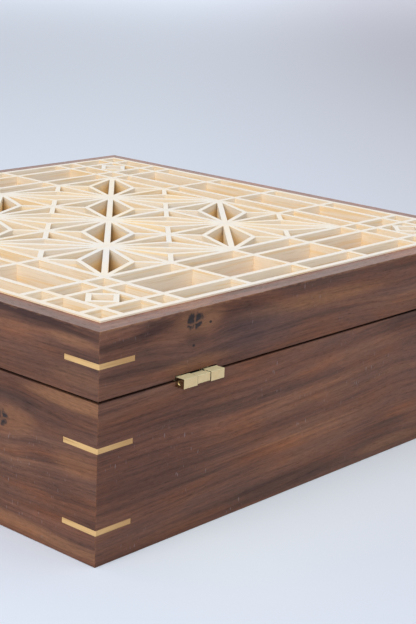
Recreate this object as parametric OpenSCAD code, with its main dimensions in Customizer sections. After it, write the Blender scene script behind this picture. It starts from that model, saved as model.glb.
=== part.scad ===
// Square hinged keepsake box in walnut, with a kumiko lattice let into its lid.
// Millimetres. The origin is the middle of the underside, +Z is up, the front faces -Y
// and the hinges are on the back, at +Y.

/* [Box] */
// Outside width and depth of the box
box_w = 300; // [280:1:330]
// Height of the walnut rim of the lid above the table
box_h = 102; // [99:0.5:112]
// Height of the top edge of the case, just under the lid
case_h = 71.65; // [70:0.05:74]
// Gap between the case and the shut lid
seam_gap = 1; // [0.3:0.05:1.1]
// Thickness of the side boards
wall_t = 13; // [12:0.5:15]
// Chamfer that eases every outer edge of the walnut
arris = 0.3; // [0.2:0.05:0.8]
// Chamfer of the walnut's edges along the seam
seam_arris = 0.2; // [0.1:0.05:0.8]
// Thickness of the bottom panel
bottom_t = 6; // [5:0.5:8]
// Width of the ledge that is cut in the case for the bottom panel
bottom_ledge = 6; // [4:0.5:8]

/* [Kumiko lattice] */
// Width of the walnut rim round the lattice
rim_w = 9.8; // [8:0.1:11]
// Height of the lattice above the walnut rim
lattice_proud = 0.7; // [0.2:0.1:1.5]
// Depth of every lattice strip
lattice_depth = 12; // [8:0.5:13]
// Thickness of the panel that the lattice is glued on
backing_t = 5; // [3:0.5:6]
// Length of the panel's nipped corners, which clear the splines
backing_nip = 3; // [3:0.5:5]
// Thickness of the frame and the crossing bars
bar_t = 3; // [2:0.1:3.6]
// Thickness of the diagonals
diagonal_t = 3; // [2:0.1:3.6]
// Thickness of the folded pieces, the keys and the corner diamonds
infill_t = 2.6; // [1.6:0.1:3.2]
// Spacing of the bars in the middle field
pitch = 44; // [40:0.5:46]
// Number of cells along each side of the middle field
field_cells = 4; // [4]
// Spacing from the frame to the outermost bar
border_outer = 13.2; // [11:0.1:15]
// Spacing of the two outer bars, which is the side of the corner cells
border_wide = 23.7; // [20:0.1:26]

/* [Corner splines] */
// Thickness of a spline
spline_t = 2.4; // [1.5:0.1:4]
// Length of a spline along each face
spline_len = 20.4; // [12:0.1:22]
// Height of the lowest spline's middle
spline_z = 15.4; // [12:0.1:18]
// Distance from one spline up to the next, the third being in the lid
spline_pitch = 36; // [34:0.1:37]
// How far the saw kerf runs on past each end of its spline
kerf_over = 0.4; // [0.1:0.1:1]

/* [Hinges] */
// Distance of each hinge's middle from the middle of the back
hinge_x = 92; // [60:1:110]
// Length of a hinge
hinge_len = 25.6; // [24:0.1:30]
// Distance that the knuckles stand out behind the box
knuckle_out = 5; // [4.6:0.1:5.4]
// Height of the square end knuckles
knuckle_h = 4.4; // [4.2:0.1:4.6]
// Height of the knuckles' top above the middle of the seam
knuckle_rise = 1.75; // [1.65:0.05:1.85]
// Thickness of a leaf
leaf_t = 1.3; // [1.2:0.05:1.4]
// Width of a leaf across the wall
leaf_w = 9.5; // [9:0.1:10.5]
// Radius of the hinge pin
pin_r = 1; // [0.8:0.05:1.2]
// Shank radius of the screws
screw_r = 1.05; // [0.8:0.05:1.1]
// Head radius of the screws
screw_head_r = 2; // [1.8:0.05:2.1]
// Length of the screws
screw_len = 9; // [7:0.5:10]

/* [Hidden] */
half_w = box_w / 2;
lid_z = case_h + seam_gap;
ledge_z = box_h + lattice_proud - lattice_depth - backing_t;
lattice_z = ledge_z + backing_t;
half_opening = half_w - rim_w;
half_bottom = half_w - wall_t + bottom_ledge;

// Lines of the lattice bars, on both sides of the middle
frame_c = half_opening - bar_t / 2;
half_field = pitch * field_cells / 2;
line_out = frame_c - border_outer;
line_in = line_out - border_wide;
field_lines = [for (i = [0 : field_cells]) i * pitch - half_field];
bar_lines = concat([-line_out, -line_in], field_lines, [line_in, line_out]);
bar_count = len(bar_lines);
cell_half = (pitch - bar_t) / 2;

// Heights of the splines: two in the case and one in the lid
case_levels = ["low", "high"];
lid_spline_z = spline_z + 2 * spline_pitch;

// The hinge axis runs along X through the middle of the knuckles
seam_z = case_h + seam_gap / 2;
knuckle_top = seam_z + knuckle_rise;
pin_y = half_w + knuckle_out / 2;
pin_z = knuckle_top - knuckle_h / 2;
leaf_gap = 0.2;
case_leaf_top = seam_z - leaf_gap / 2;
lid_leaf_bottom = seam_z + leaf_gap / 2;
lid_leaf_top = lid_leaf_bottom + leaf_t;
leaf_clear = 0.25;
lid_leaf_setback = 4;
side_play = 0.65;
end_knuckle = hinge_len / 3;
middle_knuckle = hinge_len / 3 - side_play;
middle_shift = 0.22;
middle_lift = 0.6;
middle_rebate = [1.7, 0.45];
knuckle_arris = 0.15;
// Slot in the lid behind the knuckles: depth, height over them, length past their ends
relief = [4.1, 0.5, 0.3];
pin_short = 0.3;
bore_press = 0.01;
bore_running = 0.05;
screw_row = [-8, 0, 8];
screw_in = 6.7;
head_depth = 1;
head_sunk = 0.05;
screw_fit = 0.03;
screw_tip = 2;
slot_size = [0.6, 0.45];

// Hairline that keeps butted sticks separate pieces
glue_line = 0.03;
// How far a cutter runs past the face that it opens
past = 1;
$fn = 48;

SIDES = ["front", "right", "back", "left"];
CORNERS = ["front_right", "back_right", "back_left", "front_left"];
HINGES = ["left", "right"];

walnut = [0.36, 0.24, 0.18];
panel_walnut = [0.25, 0.16, 0.11];
maple = [0.86, 0.7, 0.45];
basswood = [0.94, 0.89, 0.78];
brass = [0.83, 0.72, 0.45];

// ---- Shared shapes ----

// Places its children on side i: 0 front, 1 right, 2 back, 3 left
module on_side(i) {
    rotate([0, 0, 90 * i]) children();
}

// A mitred board of the front side, from a section of [distance inwards, height] points
module mitred_board(section, half, corner_cut, height) {
    intersection() {
        translate([0, -half, 0])
            rotate([90, 0, 90])
                linear_extrude(height = 2 * half, center = true)
                    polygon(section);
        linear_extrude(height = height)
            polygon(mitre_outline(half, corner_cut));
    }
}

// Plan of the front side: mitred at both ends, with the upright corners cut off
function mitre_outline(half, corner_cut) =
    corner_cut == 0
        ? [[-half, -half], [half, -half], [0, 0]]
        : [
            [-half + corner_cut / 2, -half + corner_cut / 2],
            [-half + corner_cut, -half],
            [half - corner_cut, -half],
            [half - corner_cut / 2, -half + corner_cut / 2],
            [0, 0]
        ];

// Section of a case board: a ledge for the bottom panel, eased edges
function case_section() = [
    [arris, 0],
    [wall_t - bottom_ledge, 0],
    [wall_t - bottom_ledge, bottom_t],
    [wall_t, bottom_t],
    [wall_t, case_h - seam_arris],
    [wall_t - seam_arris, case_h],
    [seam_arris, case_h],
    [0, case_h - seam_arris],
    [0, arris]
];

// Section of a lid board: a ledge for the backing panel, eased edges
function lid_section() = [
    [seam_arris, lid_z],
    [wall_t - seam_arris, lid_z],
    [wall_t, lid_z + seam_arris],
    [wall_t, ledge_z],
    [rim_w, ledge_z],
    [rim_w, box_h],
    [arris, box_h],
    [0, box_h - arris],
    [0, lid_z + seam_arris]
];

// Outline of a spline in the front right corner, with this length along each face
function spline_outline(len) = [
    [half_w, -half_w + arris],
    [half_w, -half_w + len],
    [half_w - len, -half_w],
    [half_w - arris, -half_w]
];

// The spline of corner i, counted from the front right, with its middle at height z
module spline(i, z, len = spline_len) {
    on_side(i)
        translate([0, 0, z - spline_t / 2])
            linear_extrude(height = spline_t)
                polygon(spline_outline(len));
}

// The saw kerfs for the splines at height z
module kerfs_at(z) {
    for (i = [0 : 3]) spline(i, z, spline_len + kerf_over);
}

// Height of case level k
function level_z(k) = spline_z + k * spline_pitch;

// Side of hinge h: 0 is the left one, 1 the right one
function hinge_at(h) = (2 * h - 1) * hinge_x;

// A box over the hinge's length, in the wall from y0 to y1 and z0 to z1
module hinge_slab(h, y0, y1, z0, z1, past_ends = 0) {
    translate([hinge_at(h) - hinge_len / 2 - past_ends, y0, z0])
        cube([hinge_len + 2 * past_ends, y1 - y0, z1 - z0]);
}

// Places its children at the three screws of hinge h, at the height z
module at_screws(h, z) {
    for (x = screw_row)
        translate([hinge_at(h) + x, half_w - screw_in, z]) children();
}

// A countersunk hole whose mouth is at z = 0 and which runs down
module countersunk_hole(depth) {
    rotate_extrude()
        polygon([
            [0, -depth],
            [screw_r + screw_fit, -depth],
            [screw_r + screw_fit, -head_depth - head_sunk],
            [screw_head_r + screw_fit, -head_sunk],
            [screw_head_r + screw_fit, past],
            [0, past]
        ]);
}

// A slotted countersunk screw with the top of its head just under z = 0
module screw() {
    difference() {
        rotate_extrude()
            polygon([
                [0, -screw_len],
                [screw_r, -screw_len + screw_tip],
                [screw_r, -head_depth - head_sunk],
                [screw_head_r, -head_sunk],
                [0, -head_sunk]
            ]);
        translate([-screw_head_r - past, -slot_size[0] / 2, -head_sunk - slot_size[1]])
            cube([2 * (screw_head_r + past), slot_size[0], slot_size[1] + past]);
    }
}

// ---- Case ----

module case_board(i) {
    color(walnut)
        difference() {
            on_side(i) mitred_board(case_section(), half_w, arris, case_h);
            for (k = [0 : 1]) kerfs_at(level_z(k));
            if (SIDES[i] == "back")
                for (h = [0, 1]) {
                    hinge_slab(h, half_w - leaf_w, half_w + past, case_leaf_top - leaf_t, case_h + past);
                    at_screws(h, case_leaf_top) countersunk_hole(screw_len + screw_fit);
                }
        }
}

module case_bottom() {
    color(panel_walnut)
        translate([-half_bottom, -half_bottom, 0])
            cube([2 * half_bottom, 2 * half_bottom, bottom_t]);
}

module case_spline(k, i) {
    color(maple) spline(i, level_z(k));
}

// ---- Lid ----

module lid_board(i) {
    color(walnut)
        difference() {
            on_side(i) mitred_board(lid_section(), half_w, arris, box_h);
            kerfs_at(lid_spline_z);
            if (SIDES[i] == "back")
                for (h = [0, 1]) {
                    hinge_slab(h, half_w - leaf_w, half_w + past, lid_z - past, lid_leaf_top);
                    hinge_slab(
                        h, half_w - relief[0], half_w + past,
                        lid_z - past, knuckle_top + relief[1], relief[2]
                    );
                    at_screws(h, lid_leaf_bottom)
                        mirror([0, 0, 1]) countersunk_hole(screw_len + screw_fit);
                }
        }
}

module lid_backing() {
    side = [half_opening - backing_nip, half_opening];
    color(panel_walnut)
        translate([0, 0, ledge_z])
            linear_extrude(height = backing_t)
                polygon([
                    [side[0], side[1]],
                    [-side[0], side[1]],
                    [-side[1], side[0]],
                    [-side[1], -side[0]],
                    [-side[0], -side[1]],
                    [side[0], -side[1]],
                    [side[1], -side[0]],
                    [side[1], side[0]]
                ]);
}

module lid_spline(i) {
    color(maple) spline(i, lid_spline_z);
}

// ---- Kumiko lattice ----

// Raises a flat outline to the lattice's full depth
module lattice_piece(points) {
    translate([0, 0, lattice_z])
        linear_extrude(height = lattice_depth)
            polygon(points);
}

module kumiko_frame(i) {
    color(basswood)
        on_side(i)
            mitred_board(
                [
                    [0, lattice_z],
                    [bar_t, lattice_z],
                    [bar_t, lattice_z + lattice_depth],
                    [0, lattice_z + lattice_depth]
                ],
                half_opening,
                0,
                lattice_z + lattice_depth
            );
}

// A bar along X on line i, notched to half its depth at every crossing.
// Upper notches take the bars that cross over it, lower ones those that cross under it.
module halved_bar(i, upper) {
    reach = half_opening - bar_t;
    notch_z = upper ? lattice_z + lattice_depth / 2 : lattice_z - past;
    difference() {
        translate([-reach, bar_lines[i] - bar_t / 2, lattice_z])
            cube([2 * reach, bar_t, lattice_depth]);
        for (x = bar_lines)
            translate([x - bar_t / 2, bar_lines[i] - bar_t, notch_z])
                cube([bar_t, 2 * bar_t, lattice_depth / 2 + past]);
    }
}

module kumiko_bar_x(i) {
    color(basswood) halved_bar(i, false);
}

module kumiko_bar_y(i) {
    color(basswood) mirror([1, -1, 0]) halved_bar(i, true);
}

// Cell [i, j] of the field, counted from its front left corner. Its diagonal rises
// from front left to back right where i + j is even, and falls where it is odd.
function cell_centre(i, j) = [(i + 0.5) * pitch - half_field, (j + 0.5) * pitch - half_field];

module in_cells() {
    for (i = [0 : field_cells - 1], j = [0 : field_cells - 1])
        translate(cell_centre(i, j))
            rotate([0, 0, 90 * ((i + j) % 2)])
                children();
}

// A diagonal with a right-angled point in each corner of its cell
module diagonal() {
    flat = diagonal_t / sqrt(2);
    lattice_piece([
        [-cell_half, -cell_half],
        [-cell_half + flat, -cell_half],
        [cell_half, cell_half - flat],
        [cell_half, cell_half],
        [cell_half - flat, cell_half],
        [-cell_half, -cell_half + flat]
    ]);
}

// The diagonal leaves two right-angled triangles in a cell. Three arms meet at the
// middle of the circle inside each: two from its sharp corners, one from its square one.
leg = 2 * cell_half - diagonal_t / sqrt(2);
inset = leg * (1 - 1 / sqrt(2));
sharp = 22.5;
fold_angle = 67.5;
key_angle = 56.25;
half_t = infill_t / 2;
arm = inset / sin(sharp);

// The point that lies along and across from p, facing angle a
function from(p, a, along, across) =
    p + along * [cos(a), sin(a)] + across * [-sin(a), cos(a)];

// Draws its children in the two triangles of every cell, square corner at the origin
module in_triangles() {
    in_cells()
        for (turn = [0, 180])
            rotate([0, 0, turn])
                translate([cell_half, -cell_half])
                    rotate([0, 0, 90])
                        children();
}

// One strip that is scored and folded at the middle of the triangle
module folded_piece() {
    tip_a = [leg, 0];
    tip_b = [0, leg];
    face_a = 180 - sharp;
    face_b = sharp - 90;
    shoulder = half_t / tan(sharp);
    fold = arm - half_t / tan(fold_angle);
    cheek = arm - half_t / tan(key_angle);
    lattice_piece([
        tip_a,
        from(tip_a, face_a, shoulder, -half_t),
        from(tip_a, face_a, fold, -half_t),
        from(tip_b, face_b, shoulder, half_t),
        tip_b,
        from(tip_b, face_b, shoulder, -half_t),
        from(tip_b, face_b, cheek, -half_t),
        [inset, inset],
        from(tip_a, face_a, cheek, half_t),
        from(tip_a, face_a, shoulder, half_t)
    ]);
}

// The key that holds the fold from the square corner
module key_piece() {
    cheek = inset * sqrt(2) - half_t / tan(key_angle);
    lattice_piece([
        [0, 0],
        from([0, 0], 45, half_t, -half_t),
        from([0, 0], 45, cheek, -half_t),
        [inset, inset],
        from([0, 0], 45, cheek, half_t),
        from([0, 0], 45, half_t, half_t)
    ]);
}

module kumiko_diagonals() {
    color(basswood) in_cells() diagonal();
}

module kumiko_folded_pieces() {
    color(basswood) in_triangles() folded_piece();
}

module kumiko_keys() {
    color(basswood) in_triangles() key_piece();
}

// A square of four butted sticks, set cornerwise in corner cell i of the border
module kumiko_diamond(i) {
    centre = (line_in + line_out) / 2;
    reach = (border_wide - bar_t) / 2 / sqrt(2);
    butt = reach - infill_t - glue_line;
    color(basswood)
        on_side(i)
            translate([centre, -centre, lattice_z])
                rotate([0, 0, 45])
                    for (turn = [0, 180])
                        rotate([0, 0, turn]) {
                            translate([-reach, -reach, 0])
                                cube([infill_t, 2 * reach, lattice_depth]);
                            translate([-butt, reach - infill_t, 0])
                                cube([2 * butt, infill_t, lattice_depth]);
                        }
}

// ---- Hinges ----

// The eased outer edges of a knuckle that starts at the height foot, round the pin
function eased_front(foot) = [
    [knuckle_out / 2 - knuckle_arris, foot],
    [knuckle_out / 2, foot + knuckle_arris],
    [knuckle_out / 2, knuckle_h / 2 - knuckle_arris],
    [knuckle_out / 2 - knuckle_arris, knuckle_h / 2]
];

// A bar of the hinge, extruded along X from a section of [y, z] points round the pin
module knuckle_bar(x, length, section) {
    translate([x, pin_y, pin_z])
        rotate([90, 0, 90])
            linear_extrude(height = length)
                polygon(section);
}

module pin_bore(h, clearance) {
    translate([hinge_at(h) - hinge_len / 2 - past, pin_y, pin_z])
        rotate([0, 90, 0])
            cylinder(r = pin_r + clearance, h = hinge_len + 2 * past);
}

module hinge_case_leaf(h) {
    x0 = hinge_at(h) - hinge_len / 2;
    color(brass)
        difference() {
            union() {
                hinge_slab(h, half_w - leaf_w, half_w, case_leaf_top - leaf_t, case_leaf_top);
                for (x = [x0, x0 + hinge_len - end_knuckle])
                    knuckle_bar(x, end_knuckle, concat(
                        [[-knuckle_out / 2, -knuckle_h / 2]],
                        eased_front(-knuckle_h / 2),
                        [[-knuckle_out / 2, knuckle_h / 2]]
                    ));
            }
            pin_bore(h, bore_press);
            at_screws(h, case_leaf_top) countersunk_hole(leaf_t + past);
        }
}

// The middle knuckle is round where it turns past the case, and square elsewhere
module middle_knuckle(h) {
    x0 = hinge_at(h) - middle_knuckle / 2 + middle_shift;
    front = -knuckle_out / 2 + leaf_clear;
    foot = -knuckle_h / 2 + middle_lift;
    top = knuckle_h / 2;
    round_r = -front;
    union() {
        knuckle_bar(x0, middle_knuckle, concat(
            [[0, foot]],
            eased_front(foot),
            [
                [front + middle_rebate[0], top],
                [front + middle_rebate[0], top - middle_rebate[1]],
                [front, top - middle_rebate[1]],
                [front, 0],
                [0, 0]
            ]
        ));
        intersection() {
            translate([x0, pin_y, pin_z])
                rotate([0, 90, 0])
                    cylinder(r = round_r, h = middle_knuckle);
            knuckle_bar(x0, middle_knuckle, [
                [front - past, foot],
                [past, foot],
                [past, past],
                [front - past, past]
            ]);
        }
        translate([x0, half_w - lid_leaf_setback - past, lid_leaf_bottom])
            cube([
                middle_knuckle,
                lid_leaf_setback + leaf_clear + 2 * past,
                knuckle_top - middle_rebate[1] - lid_leaf_bottom
            ]);
    }
}

module hinge_lid_leaf(h) {
    color(brass)
        difference() {
            union() {
                hinge_slab(h, half_w - leaf_w, half_w - lid_leaf_setback, lid_leaf_bottom, lid_leaf_top);
                middle_knuckle(h);
            }
            pin_bore(h, bore_running);
            at_screws(h, lid_leaf_bottom)
                mirror([0, 0, 1]) countersunk_hole(leaf_t + past);
        }
}

module hinge_pin(h) {
    color(brass)
        translate([hinge_at(h) - hinge_len / 2 + pin_short, pin_y, pin_z])
            rotate([0, 90, 0])
                cylinder(r = pin_r, h = hinge_len - 2 * pin_short);
}

module hinge_case_screws() {
    color(brass)
        for (h = [0, 1]) at_screws(h, case_leaf_top) screw();
}

module hinge_lid_screws() {
    color(brass)
        for (h = [0, 1]) at_screws(h, lid_leaf_bottom) mirror([0, 0, 1]) screw();
}

// ---- Nodes ----

for (i = [0 : 3]) {
    case_board(i);
    lid_board(i);
    kumiko_frame(i);
    lid_spline(i);
    kumiko_diamond(i);
    for (k = [0 : 1])
        case_spline(k, i);
}
case_bottom();
lid_backing();
for (i = [1 : bar_count]) {
    kumiko_bar_x(i - 1);
    kumiko_bar_y(i - 1);
}
kumiko_diagonals();
kumiko_folded_pieces();
kumiko_keys();
for (h = [0, 1]) {
    hinge_case_leaf(h);
    hinge_lid_leaf(h);
    hinge_pin(h);
}
hinge_case_screws();
hinge_lid_screws();
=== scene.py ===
import math

import bpy
from mathutils import Matrix, Vector


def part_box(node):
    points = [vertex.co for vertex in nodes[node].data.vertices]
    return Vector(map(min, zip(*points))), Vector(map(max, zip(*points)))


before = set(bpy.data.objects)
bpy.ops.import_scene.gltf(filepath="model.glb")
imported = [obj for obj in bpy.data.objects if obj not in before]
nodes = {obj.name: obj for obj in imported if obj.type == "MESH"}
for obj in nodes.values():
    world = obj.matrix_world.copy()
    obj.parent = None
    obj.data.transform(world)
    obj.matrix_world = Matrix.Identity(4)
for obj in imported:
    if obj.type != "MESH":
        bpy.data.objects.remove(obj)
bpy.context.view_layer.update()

MM = 0.001
CORNERS = ("front_right", "back_right", "back_left", "front_left")

case_low, case_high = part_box("case_back")
lid_low, lid_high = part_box("lid_back")
half_width = case_high.y
seam_z = (case_high.z + lid_low.z) / 2
lattice_edge = half_width - 9.8 * MM
leaf_edge = half_width - 9.5 * MM


# ---- Procedural materials ----


class Value:
    """A number that varies over a surface, with ordinary arithmetic."""

    def __init__(self, shader, socket):
        self.shader = shader
        self.socket = socket

    def __add__(self, other):
        return self.shader.math("ADD", self, other)

    def __sub__(self, other):
        return self.shader.math("SUBTRACT", self, other)

    def __rsub__(self, other):
        return self.shader.math("SUBTRACT", other, self)

    def __mul__(self, other):
        return self.shader.math("MULTIPLY", self, other)

    def __truediv__(self, other):
        return self.shader.math("DIVIDE", self, other)

    __radd__ = __add__


class Shader:
    """One material, built up from small steps on the surface's own coordinates."""

    def __init__(self, name, specular=0.5, metallic=0.0):
        self.material = bpy.data.materials.new(name)
        self.material.use_nodes = True
        self.tree = self.material.node_tree
        self.tree.nodes.clear()
        self.surface = self.node("ShaderNodeBsdfPrincipled")
        self.surface.inputs["Specular IOR Level"].default_value = specular
        self.surface.inputs["Metallic"].default_value = metallic
        output = self.node("ShaderNodeOutputMaterial")
        self.tree.links.new(self.surface.outputs["BSDF"], output.inputs["Surface"])
        self.coordinates = self.node("ShaderNodeTexCoord")
        self.x, self.y, self.z = self.split(self.coordinates.outputs["Object"])

    def node(self, kind, **settings):
        made = self.tree.nodes.new(kind)
        for key, value in settings.items():
            setattr(made, key, value)
        return made

    def join(self, value, socket):
        if isinstance(value, Value):
            value = value.socket
        if isinstance(value, bpy.types.NodeSocket):
            self.tree.links.new(value, socket)
        else:
            socket.default_value = value

    def split(self, socket):
        parts = self.node("ShaderNodeSeparateXYZ")
        self.join(socket, parts.inputs[0])
        return [Value(self, parts.outputs[axis]) for axis in range(3)]

    def math(self, operation, a, b=0.0):
        made = self.node("ShaderNodeMath", operation=operation)
        for value, socket in zip((a, b), made.inputs):
            self.join(value, socket)
        return Value(self, made.outputs[0])

    def absolute(self, value):
        return self.math("ABSOLUTE", value)

    def outer(self):
        """The distance from the box's middle along x or y, whichever is more."""
        return self.math("MAXIMUM", self.absolute(self.x), self.absolute(self.y))

    def inner(self):
        """The distance from the box's middle along x or y, whichever is less."""
        return self.math("MINIMUM", self.absolute(self.x), self.absolute(self.y))

    def normal(self):
        return self.split(self.coordinates.outputs["Normal"])

    def noise(self, x, y, z, detail=2.0, roughness=0.5):
        """Noise from 0 to 1 whose features are about one unit across."""
        point = self.node("ShaderNodeCombineXYZ")
        for value, socket in zip((x, y, z), point.inputs):
            self.join(value, socket)
        made = self.node("ShaderNodeTexNoise")
        self.join(point.outputs[0], made.inputs["Vector"])
        made.inputs["Scale"].default_value = 1.0
        made.inputs["Detail"].default_value = detail
        made.inputs["Roughness"].default_value = roughness
        return Value(self, made.outputs[0])

    def rise(self, value, low, high):
        """0 up to low, 1 from high, and a smooth step between."""
        made = self.node("ShaderNodeMapRange", interpolation_type="SMOOTHSTEP")
        self.join(value, made.inputs["Value"])
        made.inputs["From Min"].default_value = low
        made.inputs["From Max"].default_value = high
        return Value(self, made.outputs[0])

    def ramp(self, value, stops):
        made = self.node("ShaderNodeValToRGB")
        self.join(value, made.inputs[0])
        elements = made.color_ramp.elements
        while len(elements) < len(stops):
            elements.new(0.5)
        for element, (position, colour) in zip(elements, stops):
            element.position = position
            element.color = (*colour, 1.0)
        return made.outputs[0]

    def blend(self, amount, a, b, mode="MIX"):
        made = self.node("ShaderNodeMix", data_type="RGBA", blend_type=mode)
        self.join(amount, made.inputs[0])
        for value, socket in ((a, made.inputs[6]), (b, made.inputs[7])):
            self.join((*value, 1.0) if isinstance(value, tuple) else value, socket)
        return made.outputs[2]

    def shade(self, colour, amount):
        """Multiplies a colour by a number."""
        grey = self.node("ShaderNodeCombineColor")
        for socket in grey.inputs:
            self.join(amount, socket)
        return self.blend(1.0, colour, grey.outputs[0], "MULTIPLY")

    def finish(self, colour, roughness, relief=None):
        """Sets the surface. Relief is (height from 0 to 1, depth in metres, strength)."""
        self.join(colour, self.surface.inputs["Base Color"])
        self.join(roughness, self.surface.inputs["Roughness"])
        if relief is not None:
            height, depth, strength = relief
            bump = self.node("ShaderNodeBump")
            bump.inputs["Strength"].default_value = strength
            bump.inputs["Distance"].default_value = depth
            self.join(height, bump.inputs["Height"])
            self.join(bump.outputs[0], self.surface.inputs["Normal"])
        return self.material


RED = (0.2, 0.078, 0.045)
DEEP_RED = (0.104, 0.038, 0.023)
ORANGE = (0.22, 0.1, 0.048)
HONEY = (0.28, 0.138, 0.07)
SMOKE = (0.088, 0.05, 0.047)
# The dark of a knot's heart, used also for painted shade in the slots and the gap under the lid
KNOT_AND_PAINTED_SHADE = (0.016, 0.013, 0.015)
TICK = (0.36, 0.32, 0.34)
# Stops of the ramp from dark wood to light, and of the one that varies its hue
WALNUT = (
    (0.29, (0.050, 0.0205, 0.0150)),
    (0.43, (0.096, 0.0415, 0.0265)),
    (0.56, (0.140, 0.0600, 0.0365)),
    (0.75, (0.225, 0.1010, 0.0540)),
)
WALNUT_HUES = (
    (0.30, (0.80, 0.88, 1.00)),
    (0.50, (0.97, 0.97, 0.965)),
    (0.72, (1.2, 1.0, 0.76)),
)
# How much painted sheen lightens the top of the rim, by the way that its board runs
RIM_PAINTED_SHEEN = {"x": 0.42, "y": 0.95}
# A knot with a radius above this has split open in a cross
SPLIT_RADIUS = 3.0 * MM


def walnut(name, along, seed, tone=1.0, warm=0.0, knots=(), bands=(), stains=()):
    """Oiled walnut with its grain along x or y.

    A knot is (place along the grain, height, radius), in metres, and turns the grain
    aside. A band is (place, height, half length, half height, how much lighter), and
    a stain is (place, height, half length, half height, colour, strength).
    """
    s = Shader(name, specular=0.22)
    run, across = (s.x, s.y) if along == "x" else (s.y, s.x)

    # The grain's height wanders slowly along the board and passes round each knot
    wander = s.noise(run * 5.0 + seed, across * 14.0, s.z * 12.0, detail=2.0) - 0.5
    level = s.z + across * 0.3 + wander * 0.02
    heart = None
    for place, height, radius in knots:
        d_run = run - place
        d_up = s.z - height
        square = d_run * d_run * 0.5 + d_up * d_up
        spread = 9.0 * radius * radius
        level = level - d_up * (0.8 * spread) / (square + spread)
        ragged = (s.noise(run * 420.0, seed, s.z * 420.0, detail=3.0) - 0.5) * (radius * 1.2)
        size = s.math("SQRT", square) + ragged
        disc = 1.0 - s.rise(size, radius * 0.55, radius)
        if radius > SPLIT_RADIUS:
            bend = (s.noise(run * 260.0, s.z * 260.0, seed, detail=1.0) - 0.5) * (radius * 0.9)
            split_run = s.absolute(d_run + bend - radius * 0.1)
            split_up = s.absolute(d_up + bend + radius * 0.15)
            split = s.math("MINIMUM", split_run, split_up)
            cross = 1.0 - s.rise(split, radius * 0.03, radius * 0.2)
            disc = disc * (1.0 - cross * 0.7)
        heart = disc if heart is None else s.math("MAXIMUM", heart, disc)

    broad = s.noise(run * 2.2 + seed, level * 40.0, across * 12.0, detail=2.0)
    streak = s.noise(run * 6.0, level * 190.0 + seed, across * 60.0, detail=4.0, roughness=0.62)
    line = s.noise(run * 12.0 + seed, level * 560.0, across * 300.0, detail=3.0, roughness=0.6)
    fleck = s.noise(run * 210.0, level * 900.0 + seed, across * 900.0, detail=2.0, roughness=0.6)
    fibre = s.noise(run * 80.0, level * 1900.0, across * 1900.0 + seed, detail=3.0, roughness=0.65)
    pore = s.noise(run * 260.0, s.z * 3600.0, across * 3600.0 + seed, detail=1.0)
    pore = s.rise(pore, 0.58, 0.74)

    def near(place, height, half_run, half_up):
        d_run = (run - place) / half_run
        d_up = (s.z + wander * 0.012 - height) / half_up
        return 1.0 - s.rise(d_run * d_run + d_up * d_up + (streak - 0.5) * 1.2, 0.0, 1.3)

    # Bands belong to the faces of a board, and not to the top of the rim
    crown = s.rise(s.normal()[2], 0.6, 0.9)
    crown = crown * s.rise(s.z, lid_high.z - 1.0 * MM, lid_high.z - 0.3 * MM)
    depth = broad * 0.5 + streak * 0.5
    for place, height, half_run, half_up, lighter in bands:
        depth = depth + near(place, height, half_run, half_up) * (1.0 - crown) * (lighter * 0.1)
    colour = s.ramp(depth, [(stop, tuple(part * tone for part in wood)) for stop, wood in WALNUT])
    hue = s.noise(run * 16.0 + seed, level * 95.0, across * 60.0 + 7.0, detail=3.0, roughness=0.6)
    colour = s.blend(1.0, colour, s.ramp(hue + warm, WALNUT_HUES), "MULTIPLY")
    for place, height, half_run, half_up, tint, strength in stains:
        colour = s.blend(near(place, height, half_run, half_up) * strength, colour, tint)
    if heart is not None:
        colour = s.blend(heart * 0.95, colour, KNOT_AND_PAINTED_SHADE)
    late = s.rise(line, 0.42, 0.68)
    colour = s.shade(colour, 0.48 + fibre * 0.76 + fleck * 0.6 - pore * 0.24 - late * 0.3)

    # Painted sheen: the top of the rim is painted lighter, more towards the low end of its board,
    # and most of all next to the lattice, where painted light covers the shade that the lattice
    # casts
    outer = s.outer()
    painted_light_near_lattice = 1.0 - s.rise(outer, lattice_edge + 0.2 * MM, lattice_edge + 3.3 * MM)
    # Painted light: the sheen is stronger towards the low end of the board
    away = (1.0 - s.rise(run, -0.1, 0.12)) * 0.8 + 1.0
    colour = s.shade(colour, 1.0 + crown * (away * RIM_PAINTED_SHEEN[along] + painted_light_near_lattice * 0.7))

    # Painted shade: the sawn slots inside the wood, and the gap where the lid meets the case, are
    # painted dark
    slot_painted_shade = 1.0 - s.rise(outer, half_width - 0.5 * MM, half_width - 0.1 * MM)
    slot_painted_shade = slot_painted_shade * s.rise(outer, leaf_edge + 0.5 * MM, leaf_edge + 1.0 * MM)
    for face in (case_low.z, case_high.z, lid_low.z, lid_high.z):
        slot_painted_shade = slot_painted_shade * s.rise(s.absolute(s.z - face), 0.3 * MM, 0.8 * MM)
    seam_painted_shade = 1.0 - s.rise(s.absolute(s.z - seam_z), 0.55 * MM, 0.7 * MM)
    colour = s.blend(s.math("MAXIMUM", slot_painted_shade * 0.9, seam_painted_shade * 0.45), colour, KNOT_AND_PAINTED_SHADE)

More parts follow.
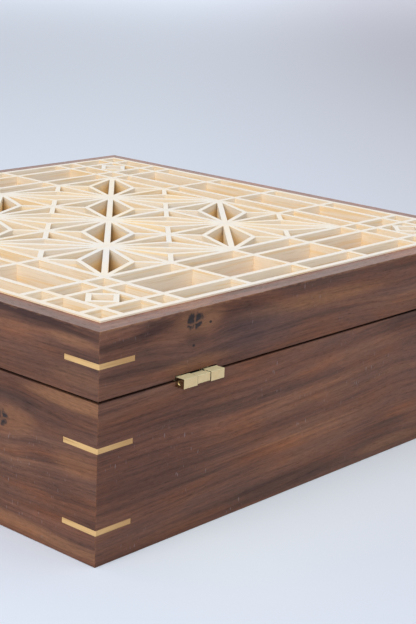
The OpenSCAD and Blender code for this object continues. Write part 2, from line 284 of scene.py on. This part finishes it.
    # Handling has rubbed the outer edges, and left a few short pale ticks
    upright = s.rise(s.inner(), half_width - 1.0 * MM, half_width - 0.3 * MM)
    top_edge = s.rise(s.z, lid_high.z - 1.3 * MM, lid_high.z - 0.4 * MM)
    top_edge = top_edge * s.rise(outer, half_width - 0.8 * MM, half_width - 0.25 * MM)
    rubbed = (upright * 0.25 + top_edge) * s.rise(streak + fleck, 0.9, 1.15)
    colour = s.blend(rubbed * 0.45, colour, HONEY)
    ticks = s.noise(run * 1100.0, s.z * 300.0 + seed, across * 300.0, detail=0.0)
    clusters = s.noise(run * 24.0, s.z * 30.0, seed, detail=1.0)
    ticks = s.rise(ticks, 0.72, 0.82) * s.rise(clusters, 0.56, 0.68)
    ticks = ticks * s.rise(outer, half_width - 0.3 * MM, half_width - 0.1 * MM)
    colour = s.blend(ticks * 0.26, colour, TICK)

    roughness = 0.38 + fibre * 0.16 + pore * 0.2 - rubbed * 0.08
    height = fibre * 0.7 + fleck * 0.3 - pore * 0.8
    return s.finish(colour, roughness, (height, 0.12 * MM, 0.4))


def pale_wood(name, top, side, warm, seed, along=None, tips=0.0, deep_painted_bounce=0.0, painted_bounce_towards_y=-0.12):
    """Planed pale wood: its fibres run level, whichever way a strip points.

    Tips is how much warmer it gets away from the box's upright corners,
    deep_painted_bounce is how much warmer it gets below the top of the lid, as painted
    warm bounce light, and painted_bounce_towards_y is how much warmer the faces towards y
    are than those towards x, also as painted warm bounce light.
    """
    s = Shader(name, specular=0.3)
    facing = s.normal()
    up = s.rise(facing[2], 0.4, 0.9)
    towards_y = s.absolute(facing[1]) - s.absolute(facing[0])
    if along is None:
        flat_u, flat_v = s.x * 300.0, s.y * 300.0
        strip = s.noise(s.x * 30.0, s.y * 30.0, seed, detail=0.0)
    else:
        run, across = (s.x, s.y) if along == "x" else (s.y, s.x)
        flat_u, flat_v = run * 60.0, across * 1500.0
        strip = s.noise(seed, across * 47.0, 0.5, detail=0.0)
    fibre = s.noise(flat_u + seed, flat_v, s.z * 1500.0, detail=3.0, roughness=0.6)
    drift = s.noise(s.x * 9.0 + seed, s.y * 9.0, s.z * 60.0, detail=2.0)
    late = s.rise(s.noise(s.x * 22.0, s.y * 22.0 + seed, s.z * 520.0, detail=2.0), 0.5, 0.7)
    streak = s.noise(s.x * 45.0 + seed, s.y * 45.0, s.z * 1500.0, detail=2.0)
    streak = s.rise(streak, 0.52, 0.7) * (1.0 - up)
    colour = s.shade(s.blend(up, side, top), 1.0 - streak * 0.16)
    grain_and_painted_bounce_warmth = late * (0.7 - up * 0.5) + (drift - 0.5) * 0.6 + fibre * 0.3
    # Painted bounce light: the faces towards y, and the parts lower below the lid's top, are made
    # warmer
    grain_and_painted_bounce_warmth = grain_and_painted_bounce_warmth + (strip - 0.35) * 0.4 + towards_y * painted_bounce_towards_y
    grain_and_painted_bounce_warmth = grain_and_painted_bounce_warmth + s.rise(lid_high.z - s.z, 1.5 * MM, 7.0 * MM) * deep_painted_bounce + streak * 0.3
    if tips:
        grain_and_painted_bounce_warmth = grain_and_painted_bounce_warmth + (s.rise(half_width - s.inner(), 2.0 * MM, 20.0 * MM) - 0.6) * tips
    colour = s.blend(grain_and_painted_bounce_warmth, colour, warm)
    return s.finish(colour, 0.6 + (fibre - 0.5) * 0.2, (fibre, 0.05 * MM, 0.35))


BRASS = (0.88, 0.74, 0.475)
BRASS_DEEP = (0.79, 0.62, 0.34)
BRASS_TOP_PAINTED_SHEEN = (0.86, 0.79, 0.56)


def brushed_brass(name):
    """Brass drawn along x, with smoother sawn ends painted darker as painted shade, a painted
    sheen on its top, painted highlights on its edge facets, and painted shade where it is hidden
    inside the lid.
    """
    s = Shader(name, metallic=1.0)
    facing = s.normal()
    ends = s.rise(s.absolute(facing[0]), 0.7, 0.9)
    eased_painted_highlight = s.rise(s.absolute(facing[1] * facing[2]), 0.3, 0.45)
    up = s.rise(facing[2], 0.7, 0.9)
    in_lid = s.rise(s.z, lid_low.z - 0.1 * MM, lid_low.z + 0.3 * MM)
    in_wall = 1.0 - s.rise(s.absolute(s.y), half_width - 0.2 * MM, half_width + 0.1 * MM)
    # Painted shade: brass hidden in the wall of the lid, facing down, is painted dark
    buried_painted_shade = s.rise(facing[2], -0.8, -0.5) * in_lid * in_wall
    level_brush = s.noise(s.x * 300.0, s.y * 5200.0, s.z * 5200.0, detail=2.0)
    cross_brush = s.noise(s.x * 4200.0, s.y * 600.0, s.z * 600.0, detail=2.0)
    cloud = s.noise(s.x * 260.0, s.y * 260.0, s.z * 260.0, detail=3.0)
    colour = s.blend(cloud * 0.7, BRASS, BRASS_DEEP)
    # Painted light and shade: the top is painted paler and brighter as a painted sheen, the edge
    # facets lighter as painted highlights, and the sawn ends darker as painted shade
    colour = s.blend(up * 0.5, colour, BRASS_TOP_PAINTED_SHEEN)
    bright = 0.8 + level_brush * 0.2 + cross_brush * 0.14 - ends * 0.46 + eased_painted_highlight * 0.35 + up * 0.26
    colour = s.shade(colour, bright * (1.0 - buried_painted_shade * 0.9))
    roughness = 0.66 + cloud * 0.12 - ends * 0.5 - eased_painted_highlight * 0.35
    height = level_brush * (1.0 - ends) + cross_brush * 0.35
    return s.finish(colour, roughness, (height, 0.05 * MM, 0.6))


def give(node, material):
    """Puts a material on a node."""
    target = nodes[node]
    target.data.materials.clear()
    target.data.materials.append(material)


LID_BACK = dict(
    tone=1.08,
    knots=((0.094, 0.0966, 0.0042), (0.0838, 0.0945, 0.0008), (0.0942, 0.0858, 0.0008)),
    bands=(
        (0.093, 0.0895, 0.008, 0.0055, -1.3),
        (0.130, 0.0880, 0.028, 0.0140, -1.1),
        (-0.045, 0.0860, 0.090, 0.0160, 0.6),
        (0.060, 0.0915, 0.022, 0.0100, -1.6),
        (0.068, 0.0790, 0.024, 0.0065, -1.0),
        (0.119, 0.0985, 0.012, 0.0040, -1.2),
        (0.111, 0.0915, 0.012, 0.0070, 0.8),
        (0.137, 0.0990, 0.020, 0.0025, 0.8),
        (0.020, 0.0840, 0.040, 0.0040, -0.6),
    ),
    stains=(
        (0.090, 0.0965, 0.016, 0.0085, ORANGE, 0.65),
        (0.012, 0.0925, 0.060, 0.0046, ORANGE, 0.75),
        (0.088, 0.0770, 0.026, 0.0028, ORANGE, 0.4),
        (0.139, 0.0990, 0.018, 0.0025, RED, 0.4),
        (0.054, 0.0850, 0.034, 0.0120, SMOKE, 0.5),
    ),
)
CASE_BACK = dict(
    tone=1.08,
    warm=0.01,
    bands=(
        # The first two bands and the first stain make the back darker and redder towards its end
        # at +x, and lighter along its middle
        (0.125, 0.0400, 0.045, 0.0300, -0.5),
        (0.000, 0.0400, 0.100, 0.0300, 0.8),
        (0.127, 0.0305, 0.036, 0.0026, -0.9),
        (0.096, 0.0560, 0.032, 0.0028, -0.8),
        (0.020, 0.0545, 0.034, 0.0022, -0.7),
        (0.066, 0.0258, 0.050, 0.0024, -0.9),
        (0.026, 0.0050, 0.048, 0.0050, -0.9),
        (-0.045, 0.0140, 0.028, 0.0090, -1.1),
        (-0.072, 0.0655, 0.028, 0.0070, -1.3),
        (0.013, 0.0280, 0.046, 0.0070, 0.7),
        (0.130, 0.0200, 0.030, 0.0050, 0.5),
    ),
    stains=(
        (0.122, 0.0400, 0.045, 0.0320, DEEP_RED, 0.5),
        (0.090, 0.0480, 0.052, 0.0040, RED, 0.35),
        (-0.060, 0.0040, 0.032, 0.0035, ORANGE, 0.5),
        (0.050, 0.0640, 0.060, 0.0040, RED, 0.3),
    ),
)
LID_RIGHT = dict(
    tone=1.0,
    bands=(
        (0.103, 0.1000, 0.034, 0.0024, -1.8),
        (0.120, 0.0972, 0.030, 0.0018, -1.6),
        (0.095, 0.0935, 0.026, 0.0026, 0.9),
        (0.134, 0.0945, 0.020, 0.0030, 1.0),
        (0.100, 0.0895, 0.032, 0.0030, 0.8),
    ),
    stains=(
        (0.134, 0.0945, 0.018, 0.0026, ORANGE, 0.5),
        (0.140, 0.0800, 0.020, 0.0050, ORANGE, 0.35),
    ),
)
CASE_RIGHT = dict(
    tone=1.0,
    knots=((0.0895, 0.0505, 0.0042),),
    bands=(
        (0.098, 0.0628, 0.016, 0.0055, -0.7),
        (0.115, 0.0585, 0.018, 0.0050, -0.6),
        (0.136, 0.0570, 0.018, 0.0036, -0.6),
        (0.114, 0.0423, 0.016, 0.0060, -1.0),
        (0.122, 0.0340, 0.018, 0.0050, -0.7),
        (0.130, 0.0258, 0.018, 0.0036, -0.8),
        # This band and the first stain make a light orange streak just under the lid, near the end
        # at +y
        (0.136, 0.0700, 0.034, 0.0042, 2.0),
        (0.108, 0.0042, 0.062, 0.0036, 1.3),
    ),
    stains=(
        (0.136, 0.0685, 0.032, 0.0038, ORANGE, 0.95),
        (0.098, 0.0520, 0.016, 0.0080, ORANGE, 0.5),
        (0.138, 0.0413, 0.016, 0.0065, ORANGE, 0.35),
        (0.112, 0.0045, 0.060, 0.0034, ORANGE, 0.5),
        (0.120, 0.0110, 0.040, 0.0030, RED, 0.35),
    ),
)
boards = {
    "case_front": walnut("walnut_case_front", "x", 3.1),
    "case_right": walnut("walnut_case_right", "y", 8.4, **CASE_RIGHT),
    "case_back": walnut("walnut_case_back", "x", 15.7, **CASE_BACK),
    "case_left": walnut("walnut_case_left", "y", 21.3),
    "lid_front": walnut("walnut_lid_front", "x", 27.9),
    "lid_right": walnut("walnut_lid_right", "y", 33.2, **LID_RIGHT),
    "lid_back": walnut("walnut_lid_back", "x", 41.6, **LID_BACK),
    "lid_left": walnut("walnut_lid_left", "y", 48.5),
}
for board, material in boards.items():
    give(board, material)

give("case_bottom", walnut("walnut_bottom", "x", 57.0, tone=0.6))
give("lid_backing", walnut("walnut_backing", "x", 63.0, tone=2.1, warm=0.01))

MAPLE = (0.66, 0.42, 0.18)
MAPLE_WARM = (0.465, 0.265, 0.105)
maple = pale_wood("maple_spline", MAPLE, MAPLE, MAPLE_WARM, 4.0, tips=0.6, painted_bounce_towards_y=0.36)
for corner in CORNERS:
    for name in ("case_spline_low_", "case_spline_high_", "lid_spline_"):
        give(name + corner, maple)

# Basswood: its colour on top, on the sides, and where it is warmer; the sides are painted warmer
# than the top, as painted bounce light between the strips
BASS_TOP = (0.825, 0.785, 0.73)
BASS = (BASS_TOP, (0.93, 0.84, 0.7), (0.92, 0.69, 0.4))
BASS_INFILL = (BASS_TOP, (0.865, 0.785, 0.68), (1.0, 0.79, 0.48))
bass_x = pale_wood("basswood_along_x", *BASS, 11.0, "x")
bass_y = pale_wood("basswood_along_y", *BASS, 17.0, "y", deep_painted_bounce=0.15)
bass_any = pale_wood("basswood_infill", *BASS_INFILL, 23.0, deep_painted_bounce=1.2)
for name in nodes:
    if name.startswith("kumiko_bar_x") or name in ("kumiko_frame_front", "kumiko_frame_back"):
        give(name, bass_x)
    elif name.startswith("kumiko_bar_y") or name in ("kumiko_frame_left", "kumiko_frame_right"):
        give(name, bass_y)
    elif name.startswith("kumiko"):
        give(name, bass_any)

brass = brushed_brass("brass_brushed")
for name in nodes:
    if name.startswith("hinge"):
        give(name, brass)


# ---- Stage, light and camera ----


def flat_sheet(name, size, height):
    """A level square sheet, as a mesh."""
    mesh = bpy.data.meshes.new(name)
    half = size / 2
    plan = ((-half, -half), (half, -half), (half, half), (-half, half))
    mesh.from_pydata([(x, y, height) for x, y in plan], [], [(0, 1, 2, 3)])
    made = bpy.data.objects.new(name, mesh)
    bpy.context.scene.collection.objects.link(made)
    return made


PAPER = (0.78, 0.83, 0.925)
PAPER_CLOUD = (0.765, 0.815, 0.91)
# Painted light and shade on the paper: a lighter pool behind the box, and a tint for the painted
# shade towards one side
PAPER_PAINTED_LIGHT_BEHIND_BOX = (0.885, 0.945, 1.0)
PAPER_PAINTED_SHADE_TINT = (1.0, 0.94, 0.94)


def stage_paper():
    """Pale paper, with painted shade that darkens it away from the window and towards one side,
    and a painted pool of light behind the box.
    """
    s = Shader("stage_paper", specular=0.1)
    cloud = s.noise(s.x * 1.5, s.y * 1.5, 0.0)
    colour = s.blend(cloud * 0.3, PAPER, PAPER_CLOUD)
    # Painted light: a lighter patch of paper behind the box
    behind = s.rise(s.y, 0.10, 0.15) * (1.0 - s.rise(s.y, 0.15, 0.27))
    behind = behind * (0.9 - s.rise(s.absolute(s.x), 0.09, 0.18) * 0.9)
    colour = s.blend(behind, colour, PAPER_PAINTED_LIGHT_BEHIND_BOX)
    # Painted shade: the paper darkens further from the window and towards one side, where it is
    # also tinted
    far_painted_shade = s.rise(s.x * -0.72 - s.y * 0.64, -0.3, 2.4)
    side = s.rise(s.y * 0.72 - s.x * 0.64, -0.1, 0.6)
    colour = s.shade(colour, 1.0 - far_painted_shade * 0.17 - side * 0.19)
    colour = s.blend(side, colour, s.blend(1.0, colour, PAPER_PAINTED_SHADE_TINT, "MULTIPLY"))
    return s.finish(colour, 0.9)


FLOOR_SIZE = 40.0
floor = flat_sheet("stage_floor", FLOOR_SIZE, case_low.z)
floor.data.materials.append(stage_paper())

world = bpy.data.worlds.new("soft_room")
bpy.context.scene.world = world
world.use_nodes = True
background = world.node_tree.nodes["Background"]
background.inputs["Color"].default_value = (0.95, 0.97, 1.0, 1.0)
background.inputs["Strength"].default_value = 0.56


def softbox(name, place, target, size, power, colour):
    """A rectangular lamp, of a size in metres and a power in watts, that faces a target."""
    data = bpy.data.lights.new(name, "AREA")
    data.shape = "RECTANGLE"
    data.size, data.size_y = size
    data.energy = power
    data.color = colour
    lamp = bpy.data.objects.new(name, data)
    lamp.location = place
    lamp.rotation_euler = (Vector(target) - Vector(place)).to_track_quat("-Z", "Y").to_euler()
    lamp.visible_camera = False
    bpy.context.scene.collection.objects.link(lamp)


softbox("window_side", (2.4, 0.7, 1.8), (0, 0, 0.05), (2.4, 1.8), 52.0, (1.0, 0.98, 0.96))
softbox("room_fill", (0.9, 2.6, 1.3), (0, 0, 0.05), (2.2, 1.8), 10.2, (0.94, 0.98, 1.0))
softbox("overhead", (0.3, 0.9, 2.3), (0, 0.2, 0), (2.0, 1.6), 9.3, (0.77, 0.89, 1.0))
softbox("behind", (-3.0, -2.7, 1.35), (0, 0, 0.1), (3.6, 2.2), 38.0, (0.96, 0.97, 1.0))


# The camera's place in metres, its angles in degrees and its lens in millimetres
CAMERA_PLACE = (0.5486, 0.5624, 0.2696)
AZIMUTH = 131.71
ELEVATION = 15.379
ROLL = 2.346
LENS = 86.6


def camera():
    """A long lens on the box's back right corner, with the camera rolled a little."""
    azimuth = math.radians(AZIMUTH)
    elevation = math.radians(ELEVATION)
    roll = math.radians(ROLL)
    back = Vector((
        math.sin(azimuth) * math.cos(elevation),
        -math.cos(azimuth) * math.cos(elevation),
        math.sin(elevation),
    ))
    right = (-back).cross(Vector((0, 0, 1))).normalized()
    up = back.cross(right)
    turned_right = math.cos(roll) * right + math.sin(roll) * up
    turned_up = math.cos(roll) * up - math.sin(roll) * right
    place = Vector(CAMERA_PLACE)
    data = bpy.data.cameras.new("camera")
    data.lens = LENS
    data.sensor_width = 36.0
    data.clip_end = 100.0
    made = bpy.data.objects.new("camera", data)
    made.matrix_world = Matrix((
        (turned_right.x, turned_up.x, back.x, place.x),
        (turned_right.y, turned_up.y, back.y, place.y),
        (turned_right.z, turned_up.z, back.z, place.z),
        (0, 0, 0, 1),
    ))
    bpy.context.scene.collection.objects.link(made)
    return made


bpy.context.scene.camera = camera()
bpy.context.scene.view_settings.view_transform = "Standard"
